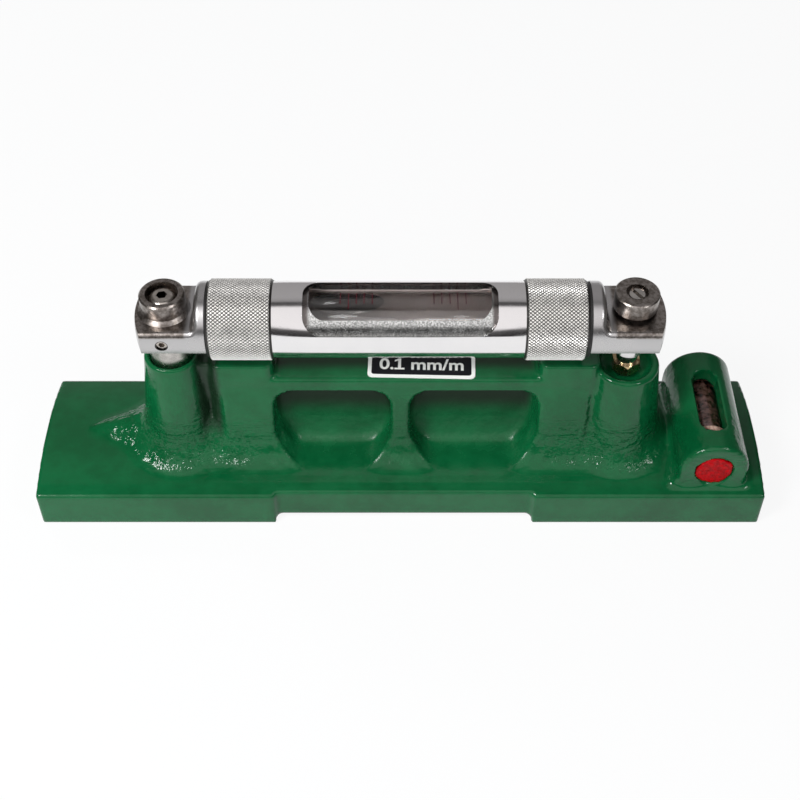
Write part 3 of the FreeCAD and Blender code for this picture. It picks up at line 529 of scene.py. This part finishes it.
def print_ink(name, colour, wear):
    """Printed colour, rubbed a little."""
    ink = Finish(name, IOR=1.3)
    rub = ink.noise(ink.place(), 2.2, 4.0, 0.7)
    ink.set(Base_Color=ink.blend(ink.band(rub, 0.55, 0.75), colour, wear),
            Roughness=ink.band(rub, 0.3, 0.7, 0.32, 0.5))
    return ink.bump(rub, 0.01).material


# ---------------------------------------------------------------- making pieces


def piece(bm, name, body, finishes, replaces=(), sharp=35.0):
    """Turns a bmesh into a finished piece that rides on a CAD body."""
    mesh = bpy.data.meshes.new(name)
    bm.to_mesh(mesh)
    bm.free()
    for finish in finishes:
        mesh.materials.append(finish)
    mesh.shade_smooth()
    mesh.set_sharp_from_angle(angle=math.radians(sharp))
    made = bpy.data.objects.new(name, mesh)
    bpy.context.scene.collection.objects.link(made)
    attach(made, body)
    if replaces:
        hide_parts(*replaces)
    return made


def node_copy(node):
    """A merged copy of a CAD node's mesh, with its flat faces whole again."""
    bm = bmesh.new()
    bm.from_mesh(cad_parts[node].data)
    bmesh.ops.remove_doubles(bm, verts=bm.verts, dist=MERGE)
    return bm


def ease_edges(bm, width, angle, segments):
    """Breaks the sharp edges, as a deburring tool does."""
    limit = math.radians(angle)
    bmesh.ops.dissolve_limit(bm, angle_limit=math.radians(0.5), verts=bm.verts, edges=bm.edges, delimit={"SHARP"})
    edges = [e for e in bm.edges if len(e.link_faces) == 2 and e.calc_face_angle() > limit]
    bmesh.ops.bevel(bm, geom=edges, offset=width, offset_type="OFFSET", segments=segments, profile=0.5,
                    affect="EDGES", clamp_overlap=True, material=-1)


def from_tube_axis(point):
    """The way from the tube's axis straight out to a point."""
    return Vector((0, point.y, point.z - TUBE_Z))


# ---------------------------------------------------------------- casting


def painted_casting(enamel, iron):
    """The casting with its inside corners run together, as sand and paint leave them, and its outer edges kept."""
    source = node_copy("base_casting")
    true_form = bvhtree.BVHTree.FromBMesh(source)
    rough = bpy.data.meshes.new("casting_source")
    source.to_mesh(rough)
    source.free()
    holder = bpy.data.objects.new("casting_source", rough)
    bpy.context.scene.collection.objects.link(holder)
    remesh = holder.modifiers.new("sand", "REMESH")
    remesh.mode = "VOXEL"
    remesh.voxel_size = SAND_VOXEL
    grown = bpy.data.meshes.new_from_object(holder.evaluated_get(bpy.context.evaluated_depsgraph_get()))
    bpy.data.objects.remove(holder)
    bm = bmesh.new()
    bm.from_mesh(grown)
    soft = [v for v in bm.verts if is_cast_corner(v.co)]
    for _ in range(BLEND_PASSES):
        bmesh.ops.smooth_vert(bm, verts=soft, factor=0.5, use_axis_x=True, use_axis_y=True, use_axis_z=True)
    for _ in range(EDGE_PASSES):
        restore_outside(bm, true_form)
        bmesh.ops.smooth_vert(bm, verts=bm.verts, factor=0.3, use_axis_x=True, use_axis_y=True, use_axis_z=True)
    restore_outside(bm, true_form)
    for face in bm.faces:
        centre = face.calc_center_median()
        face.material_index = 1 if centre.z < SOLE_TOP and face.normal.z < SOLE_SLOPE else 0
    return piece(bm, "painted_casting", "base", [enamel, iron], ["base_casting"], sharp=60.0)


def is_cast_corner(point):
    """Whether the casting is left rough here: not in the housing, on the shelf, at the plate's rim or by a post."""
    if not ROUGH_HEIGHTS[0] * MM < point.z < ROUGH_HEIGHTS[1] * MM:
        return False
    in_housing = point.x > HOUSING_FROM_X * MM and point.z > HOUSING_FROM_Z * MM
    on_plate_rim = abs(point.y) > PLATE_RIM_Y * MM or abs(point.x) > PLATE_RIM_X * MM
    on_shelf = point.z > SHELF_FROM_Z * MM and SHELF_SPAN[0] * MM < point.x < SHELF_SPAN[1] * MM
    in_gap = point.z > GAP_FROM_Z * MM and any(low * MM < point.x < high * MM for low, high in POST_GAPS)
    return not (in_housing or on_plate_rim or on_shelf or in_gap)


def restore_outside(bm, true_form):
    """Puts vertices that are inside the true form, or hardly off it, back on its surface."""
    for vert in bm.verts:
        place, normal, _, distance = true_form.find_nearest(vert.co)
        if distance < SKIN_PLAY or (vert.co - place).dot(normal) < 0:
            vert.co = place


# ---------------------------------------------------------------- vial tube


def knurled_ring(name, span, finish):
    """A grip of crossed diamond knurling with chamfered ends."""
    start, end = span
    root = CREST_RADIUS - KNURL_DEPTH
    columns = round((end - start - 2 * GRIP_CHAMFER) / KNURL_PITCH)
    rows = round(2 * math.pi * CREST_RADIUS / KNURL_ROW)
    bm = bmesh.new()
    ends = [bm.verts.new((x, 0, TUBE_Z + root)) for x in (start + GRIP_CHAMFER, end - GRIP_CHAMFER)]
    line = bm.edges.new(ends)
    bmesh.ops.subdivide_edges(bm, edges=[line], cuts=columns - 1)
    bmesh.ops.spin(bm, geom=bm.verts[:] + bm.edges[:], cent=TUBE_AXIS, axis=X_AXIS, angle=2 * math.pi,
                   steps=rows, use_merge=True)
    bmesh.ops.recalc_face_normals(bm, faces=bm.faces)
    grid = set(bm.verts)
    bmesh.ops.poke(bm, faces=bm.faces)
    inner = [e for e in bm.edges if e.verts[0] in grid and e.verts[1] in grid and not e.is_boundary]
    bmesh.ops.dissolve_edges(bm, edges=inner)
    bmesh.ops.recalc_face_normals(bm, faces=bm.faces)
    if sum(from_tube_axis(face.calc_center_median()).dot(face.normal) for face in bm.faces) < 0:
        bmesh.ops.reverse_faces(bm, faces=bm.faces)
    diamonds = bm.faces[:]
    bmesh.ops.inset_individual(bm, faces=diamonds, thickness=KNURL_FLANK, depth=KNURL_DEPTH, use_even_offset=True)
    for shift, radius in ((GRIP_CHAMFER, PLAIN_RADIUS + GRIP_WALL), (0.0, PLAIN_RADIUS - GRIP_WALL)):
        rim = [e for e in bm.edges if e.is_boundary]
        made = bmesh.ops.extrude_edge_only(bm, edges=rim)
        for vert in [g for g in made["geom"] if isinstance(g, bmesh.types.BMVert)]:
            spoke = from_tube_axis(vert.co).normalized() * radius
            side = 1 if vert.co.x > (start + end) / 2 else -1
            vert.co = Vector((vert.co.x + side * shift, spoke.y, spoke.z + TUBE_Z))
    rims = [e for e in bm.edges if e.is_boundary]
    bmesh.ops.bridge_loops(bm, edges=rims)
    bmesh.ops.recalc_face_normals(bm, faces=bm.faces)
    return piece(bm, name, "cover", [finish], sharp=20.0)


def cover_tube(finish):
    """The cover's plain tube with its window, the edges of the window rounded over by polishing."""
    bm = node_copy("cover_sleeve")
    for vert in bm.verts:
        reach = math.hypot(vert.co.y, vert.co.z - TUBE_Z)
        if reach > PLAIN_RADIUS:
            share = PLAIN_RADIUS / reach
            vert.co = Vector((vert.co.x, vert.co.y * share, TUBE_Z + (vert.co.z - TUBE_Z) * share))
    bmesh.ops.dissolve_degenerate(bm, dist=MERGE, edges=bm.edges)
    bmesh.ops.remove_doubles(bm, verts=bm.verts, dist=2 * MERGE)
    ease_edges(bm, WINDOW_EASE, WINDOW_EASE_ANGLE, WINDOW_EASE_SEGMENTS)
    return piece(bm, "cover_tube", "cover", [finish], ["cover_sleeve"])


def scale_lines(finish):
    """The two groups of lines fired into the long vial."""
    bm = bmesh.new()
    radius = GLASS_RADIUS + LINE_LIFT
    for at in SCALE_LEFT + SCALE_RIGHT:
        start, end = (math.radians(angle) for angle in (LONG_ARC if at in SCALE_LONG else SHORT_ARC))
        ends = [bm.verts.new((at * MM + side * LINE_HALF_WIDTH, 0, TUBE_Z + radius)) for side in (-1, 1)]
        line = bm.edges.new(ends)
        bmesh.ops.rotate(bm, verts=ends, cent=TUBE_AXIS, matrix=Matrix.Rotation(start, 3, "X"))
        bmesh.ops.spin(bm, geom=ends + [line], cent=TUBE_AXIS, axis=X_AXIS, angle=end - start,
                       steps=LINE_STEPS)
    bmesh.ops.recalc_face_normals(bm, faces=bm.faces)
    bmesh.ops.solidify(bm, geom=bm.faces[:], thickness=LINE_DEPTH)
    bmesh.ops.recalc_face_normals(bm, faces=bm.faces)
    return piece(bm, "scale_lines", "vial_tube", [finish], sharp=40.0)


def spirit_body(name, node, bubble_at, bubble_reach, body, finish):
    """A vial's liquid, a hair wider than its bore so that it wets the glass, with its bubble left open."""
    low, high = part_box(node)
    size = high - low
    along_y = size.y > size.x
    radius = size.z / 2 + WETTING
    half = max(size.x, size.y) / 2 + WETTING
    drop = radius * SEALED_SHARE
    bm = bmesh.new()
    outline = [(-half, 0), (-half, radius / 2), (drop - half, radius),
               (half - drop, radius), (half, radius / 2), (half, 0)]
    points = [bm.verts.new((x, 0, z)) for x, z in outline]
    edges = [bm.edges.new(pair) for pair in zip(points, points[1:])]
    bmesh.ops.spin(bm, geom=points + edges, axis=X_AXIS, angle=2 * math.pi, steps=VIAL_STEPS,
                   use_merge=True)
    bmesh.ops.remove_doubles(bm, verts=bm.verts, dist=MERGE)
    bmesh.ops.recalc_face_normals(bm, faces=bm.faces)
    hollow = bubble_shell(radius - 2 * WETTING, bubble_reach)
    for vert in hollow.verts:
        vert.co.x += bubble_at
    shell = bpy.data.meshes.new("bubble_shell")
    hollow.to_mesh(shell)
    hollow.free()
    bm.from_mesh(shell)
    if along_y:
        bmesh.ops.rotate(bm, verts=bm.verts, matrix=Matrix.Rotation(math.radians(90), 3, "Z"))
    bmesh.ops.translate(bm, verts=bm.verts, vec=(low + high) / 2)
    return piece(bm, name, body, [finish], [node], sharp=50.0)


def bubble_shell(bore, reach):
    """The surface between liquid and bubble: the bore above, a level floor below, narrowing to its ends."""
    along, across = reach
    bm = bmesh.new()
    bmesh.ops.create_uvsphere(bm, u_segments=BUBBLE_SEGMENTS[0], v_segments=BUBBLE_SEGMENTS[1], radius=1.0)
    bmesh.ops.rotate(bm, verts=bm.verts, matrix=Matrix.Rotation(math.radians(90), 3, "Y"))
    for vert in bm.verts:
        x, y, z = vert.co
        width = across * math.sqrt(max(0.0, 1 - x * x))
        spread = math.hypot(y, z) or 1.0
        y = width * y / spread
        roof = math.sqrt(bore * bore - y * y)
        floor_level = math.sqrt(bore * bore - width * width)
        sag = MENISCUS * (roof - floor_level)
        vert.co = (x * along, y, roof if z >= 0 else floor_level - sag)
    bmesh.ops.remove_doubles(bm, verts=bm.verts, dist=MERGE)
    bmesh.ops.recalc_face_normals(bm, faces=bm.faces)
    bmesh.ops.reverse_faces(bm, faces=bm.faces)
    return bm


# ---------------------------------------------------------------- cross vial


def wax_plug(name, node, finish):
    """Sealing wax pressed into the bore, with a dented face and a ragged rim."""
    low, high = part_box(node)
    centre = (low + high) / 2
    radius = (high.x - low.x) / 2
    side = 1 if centre.y > 0 else -1
    face_y = high.y if side > 0 else low.y
    bm = bmesh.new()
    outline = [(0.0, 0.0)] + [(radius * share, depth) for share, depth in WAX_PROFILE] + [(0.0, (high.y - low.y))]
    points = [bm.verts.new((r, d, 0)) for r, d in outline]
    edges = [bm.edges.new(pair) for pair in zip(points, points[1:])]
    bmesh.ops.spin(bm, geom=points + edges, axis=Y_AXIS, angle=2 * math.pi, steps=WAX_STEPS,
                   use_merge=True)
    bmesh.ops.remove_doubles(bm, verts=bm.verts, dist=MERGE)
    for vert in bm.verts:
        reach = math.hypot(vert.co.x, vert.co.z) / radius
        around = Vector((vert.co.x, 0, vert.co.z)).normalized() if reach else Vector()
        ragged = noise.noise(around * 1.3 + Vector((0, 4.1, 0))) * 0.1 + noise.noise(around * 4.0) * 0.05 - 0.04
        shrink = 1 + ragged * max(0.0, reach - WAX_RAGGED_FROM) / (1 - WAX_RAGGED_FROM)
        dent = noise.noise(vert.co * 420.0) * 0.28 * MM + noise.noise(vert.co * 900.0) * 0.1 * MM
        shallow = max(0.0, 1 - vert.co.y / WAX_DENTED_DEPTH)
        depth = max(vert.co.y - (dent - WAX_SINK) * shallow, -WAX_DEEPEST)
        vert.co = Vector((centre.x + vert.co.x * shrink, face_y - side * depth, centre.z + vert.co.z * shrink))
    # the rear plug has just been mirrored, and the next call goes by the stored normals
    bm.normal_update()
    bmesh.ops.recalc_face_normals(bm, faces=bm.faces)
    return piece(bm, name, "base", [finish], [node], sharp=60.0)


# ---------------------------------------------------------------- label


def on_label(bm, lift):
    """Turns and moves flat work onto the label's face."""
    low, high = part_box("label_plate")
    bmesh.ops.rotate(bm, verts=bm.verts, matrix=Matrix.Rotation(LABEL_TURN, 3, "Z"))
    bmesh.ops.translate(bm, verts=bm.verts, vec=((low.x + high.x) / 2, (low.y + high.y) / 2, high.z + lift))


def label_field(finish):
    """The black ground inside the label's white border."""
    bm = bmesh.new()
    bmesh.ops.create_grid(bm, x_segments=1, y_segments=1, size=1.0)
    bmesh.ops.scale(bm, vec=(LABEL_SIZE[0] / 2 - LABEL_BORDER, LABEL_SIZE[1] / 2 - LABEL_BORDER, 1), verts=bm.verts)
    bmesh.ops.bevel(bm, geom=bm.verts[:], offset=FIELD_CORNER, offset_type="OFFSET", segments=6, profile=0.5,
                    affect="VERTICES", material=-1)
    made = bmesh.ops.extrude_face_region(bm, geom=bm.faces[:])
    top = [g for g in made["geom"] if isinstance(g, bmesh.types.BMVert)]
    bmesh.ops.translate(bm, verts=top, vec=(0, 0, PRINT_THICKNESS))
    bmesh.ops.recalc_face_normals(bm, faces=bm.faces)
    on_label(bm, -PRINT_THICKNESS / 2)
    return piece(bm, "label_field", "base", [finish])


def finish_figure_one(bm):
    """Gives the plain stroke of the figure one its flag and its foot."""
    tall = [v for v in bm.verts if FIGURE_ONE[0] < v.co.x < FIGURE_ONE[1]]
    low = Vector([min(v.co[k] for v in tall) for k in range(3)])
    high = Vector([max(v.co[k] for v in tall) for k in range(3)])
    stroke = high.x - low.x
    foot = bmesh.ops.create_cube(bm, size=1.0)["verts"]
    thick = (high.z - low.z) * OVER_THICK
    middle = (low + high) / 2
    bmesh.ops.scale(bm, verts=foot, vec=(stroke * FOOT_SHARES[0], stroke * FOOT_SHARES[1], thick))
    bmesh.ops.translate(bm, verts=foot, vec=(middle.x, low.y + stroke * FOOT_SHARES[1] / 2, middle.z))
    flag = bmesh.ops.create_cube(bm, size=1.0)["verts"]
    bmesh.ops.scale(bm, verts=flag, vec=(stroke * FLAG_SHARES[0], stroke * FLAG_SHARES[1], thick))
    for vert in flag:
        vert.co.y += vert.co.x * FLAG_SLANT
    bmesh.ops.translate(bm, verts=flag,
                        vec=(low.x - stroke * FLAG_PLACE[0], high.y - stroke * FLAG_PLACE[1], middle.z))


def label_words(finish):
    """The scale value, printed on the ground."""
    letters = bpy.data.curves.new("label_words", "FONT")
    letters.body = WORDS
    letters.offset = LETTER_WEIGHT
    letters.extrude = LETTER_EXTRUDE
    holder = bpy.data.objects.new("label_words", letters)
    flat = bpy.data.meshes.new_from_object(holder)
    bpy.data.objects.remove(holder)
    bm = bmesh.new()
    bm.from_mesh(flat)
    bmesh.ops.remove_doubles(bm, verts=bm.verts, dist=1e-5)
    finish_figure_one(bm)
    left = min(v.co.x for v in bm.verts)
    right = max(v.co.x for v in bm.verts)
    grow = WORDS_WIDTH / (right - left)
    bmesh.ops.translate(bm, verts=bm.verts, vec=(-(left + right) / 2, 0, 0))
    bmesh.ops.scale(bm, verts=bm.verts, vec=(grow, grow, PRINT_THICKNESS / (2 * LETTER_EXTRUDE)))
    bmesh.ops.translate(bm, verts=bm.verts, vec=(0, WORDS_BASELINE, 0))
    on_label(bm, PRINT_THICKNESS / 2)
    return piece(bm, "label_words", "base", [finish])


# ---------------------------------------------------------------- studio


def studio_world():
    """White to the camera. Bright work and glass see grey behind, a lit front, two dark gaps and dark sides."""
    world = bpy.data.worlds.new("studio")
    bpy.context.scene.world = world
    world.use_nodes = True
    tree = Tree(world.node_tree)
    plain = tree.nodes["Background"]
    plain.inputs["Color"].default_value = rgb(0.93, 0.96, 1.0)
    plain.inputs["Strength"].default_value = WORLD_STRENGTH
    direction = tree.node("ShaderNodeTexCoord", output="Generated")
    sideways, forward, upward = (tree.axis(direction, letter) for letter in "XYZ")
    tilt = tree.node("ShaderNodeMath", {"operation": "ARCTAN2"}, {0: forward * -1.0, 1: upward})
    stops = [(at, rgb(grey, grey * 0.97, grey * 0.97)) for at, grey in WORLD_GREYS]
    bands = tree.node("ShaderNodeValToRGB", {"stops": stops}, {0: tilt / (2 * math.pi) + 0.5})
    shine = tree.blend(tree.band(abs(sideways), *WORLD_SIDE), bands, rgb(0.09, 0.085, 0.08))
    seen = tree.node("ShaderNodeBackground", None, {"Color": shine, "Strength": 1.0})
    white = tree.node("ShaderNodeBackground", None, {"Color": rgb(1, 1, 1), "Strength": 1.0})
    camera_ray, glossy_ray, through_ray = rays(tree)
    mirrored = tree.node("ShaderNodeMixShader", None, {0: glossy_ray, 1: Signal(tree, plain.outputs[0]), 2: seen})
    past = tree.node("ShaderNodeMixShader", None, {0: through_ray, 1: mirrored, 2: seen})
    final = tree.node("ShaderNodeMixShader", None, {0: camera_ray, 1: past, 2: white})
    tree.feed(tree.nodes["World Output"].inputs["Surface"], final)


def rays(tree):
    """Whether the camera, a mirror surface or glass is looking."""
    kinds = ("Is Camera Ray", "Is Glossy Ray", "Is Transmission Ray")
    return [tree.node("ShaderNodeLightPath", output=kind) for kind in kinds]


def softbox(name, place, size, power, mirrored):
    """One rectangular lamp that the camera doesn't see."""
    lamp = bpy.data.lights.new(name, "AREA")
    lamp.shape = "RECTANGLE"
    lamp.size, lamp.size_y = size
    lamp.energy = power
    holder = bpy.data.objects.new(name, lamp)
    bpy.context.scene.collection.objects.link(holder)
    holder.location = place
    holder.rotation_euler = (Vector(LAMP_AIM) - Vector(place)).to_track_quat("-Z", "Y").to_euler()
    holder.visible_camera = False
    holder.visible_glossy = mirrored


def floor():
    """A pale table top that keeps the shadow."""
    bm = bmesh.new()
    bmesh.ops.create_circle(bm, cap_ends=True, segments=96, radius=TABLE_RADIUS)
    mesh = bpy.data.meshes.new("table_top")
    bm.to_mesh(mesh)
    bm.free()
    paper = Finish("table_paper", Base_Color=rgb(0.9, 0.92, 0.94), Roughness=0.9)
    glow = paper.node("ShaderNodeEmission", None, {"Color": rgb(1, 1, 1), "Strength": 1.0})
    camera_ray, glossy_ray, through_ray = rays(paper)
    share = (camera_ray + glossy_ray + through_ray) * TABLE_GLOW
    mixed = paper.node("ShaderNodeMixShader", None, {0: share, 1: Signal(paper, paper.shader.outputs[0]), 2: glow})
    paper.feed(paper.nodes["Material Output"].inputs["Surface"], mixed)
    mesh.materials.append(paper.material)
    made = bpy.data.objects.new("table_top", mesh)
    bpy.context.scene.collection.objects.link(made)
    made.location = (0, 0, CAD_BOX[0][2] - TABLE_DROP)


def camera():
    """The lens in front of the level, looking down on it."""
    lens = bpy.data.cameras.new("camera")
    lens.sensor_width = 36.0
    lens.lens = CAMERA_LENS
    lens.clip_start = 0.01
    holder = bpy.data.objects.new("camera", lens)
    bpy.context.scene.collection.objects.link(holder)
    holder.location = CAMERA_PLACE
    holder.rotation_euler = (math.radians(90 - CAMERA_DOWN), 0, 0)
    bpy.context.scene.camera = holder


def dress(node, finish):
    """Gives a CAD node its finish."""
    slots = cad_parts[node].data.materials
    slots.clear()
    slots.append(finish)


# ---------------------------------------------------------------- the object

enamel = green_enamel()
iron = ground_iron()
tube_chrome = chrome("tube_chrome")
knurl_chrome = knurl_plate()
fitting_chrome = chrome("fitting_chrome", 0.26, 0.56, fitting=True)
pivot_steel = satin_steel("pivot_steel", 0.42, 0.56, 0.22, 0.05)
screw_steel = satin_steel("screw_steel", 0.38, 0.56, 0.16, 0.08, socket=True)
bush_nickel = chrome("bush_nickel", 0.14, 0.75)
carrier = carrier_plate()
rubber = dark_rubber()
glass = clear_glass()
clear = spirit("clear_spirit", rgb(0.99, 0.97, 0.96), rgb(0.97, 0.95, 0.93), 1.0, 0.12)
amber = spirit("amber_spirit", rgb(0.4, 0.21, 0.18), rgb(0.1, 0.035, 0.025), 0.4, 0.8)
bedding = plaster("bedding_plaster", rgb(0.86, 0.6, 0.5), rgb(0.4, 0.15, 0.1))
wax = red_wax()
yellow = brass()
fired_red = print_ink("fired_red", rgb(0.13, 0.012, 0.02), rgb(0.09, 0.02, 0.025))
label_black = print_ink("label_black", rgb(0.003, 0.003, 0.006), rgb(0.01, 0.01, 0.013))
label_white = print_ink("label_white", rgb(0.92, 0.93, 0.9), rgb(0.8, 0.81, 0.77))

painted_casting(enamel, iron)
cover_tube(tube_chrome)
knurled_ring("left_grip", LEFT_GRIP, knurl_chrome)
knurled_ring("right_grip", RIGHT_GRIP, knurl_chrome)
scale_lines(fired_red)
spirit_body("long_spirit", "main_vial_spirit", LONG_BUBBLE_X, LONG_BUBBLE, "vial_tube", clear)
spirit_body("cross_spirit", "cross_vial_spirit", 0.0, CROSS_BUBBLE, "base", amber)
wax_plug("front_wax", "cross_vial_front_plug", wax)
wax_plug("rear_wax", "cross_vial_rear_plug", wax)
label_field(label_black)
label_words(label_white)

NODE_FINISHES = {
    label_white: ["label_plate"],
    pivot_steel: ["pivot_post", "adjusting_stud"],
    screw_steel: ["clamp_screw", "front_set_screw", "rear_set_screw"],
    fitting_chrome: ["left_end_fitting", "right_end_fitting", "upper_washer", "upper_round_nut"],
    bush_nickel: ["lower_bush"],
    carrier: ["carrier_tube"],
    rubber: ["left_friction_ring", "right_friction_ring"],
    glass: ["main_vial_glass", "cross_vial_glass"],
    bedding: ["left_vial_bedding", "right_vial_bedding", "cross_vial_front_bedding", "cross_vial_rear_bedding"],
    yellow: ["lower_hex_nut"],
}
for finish, nodes in NODE_FINISHES.items():
    for node in nodes:
        dress(node, finish)

camera()
floor()
for lamp in LAMPS:
    softbox(*lamp)
studio_world()
bpy.context.scene.view_settings.view_transform = "Standard"
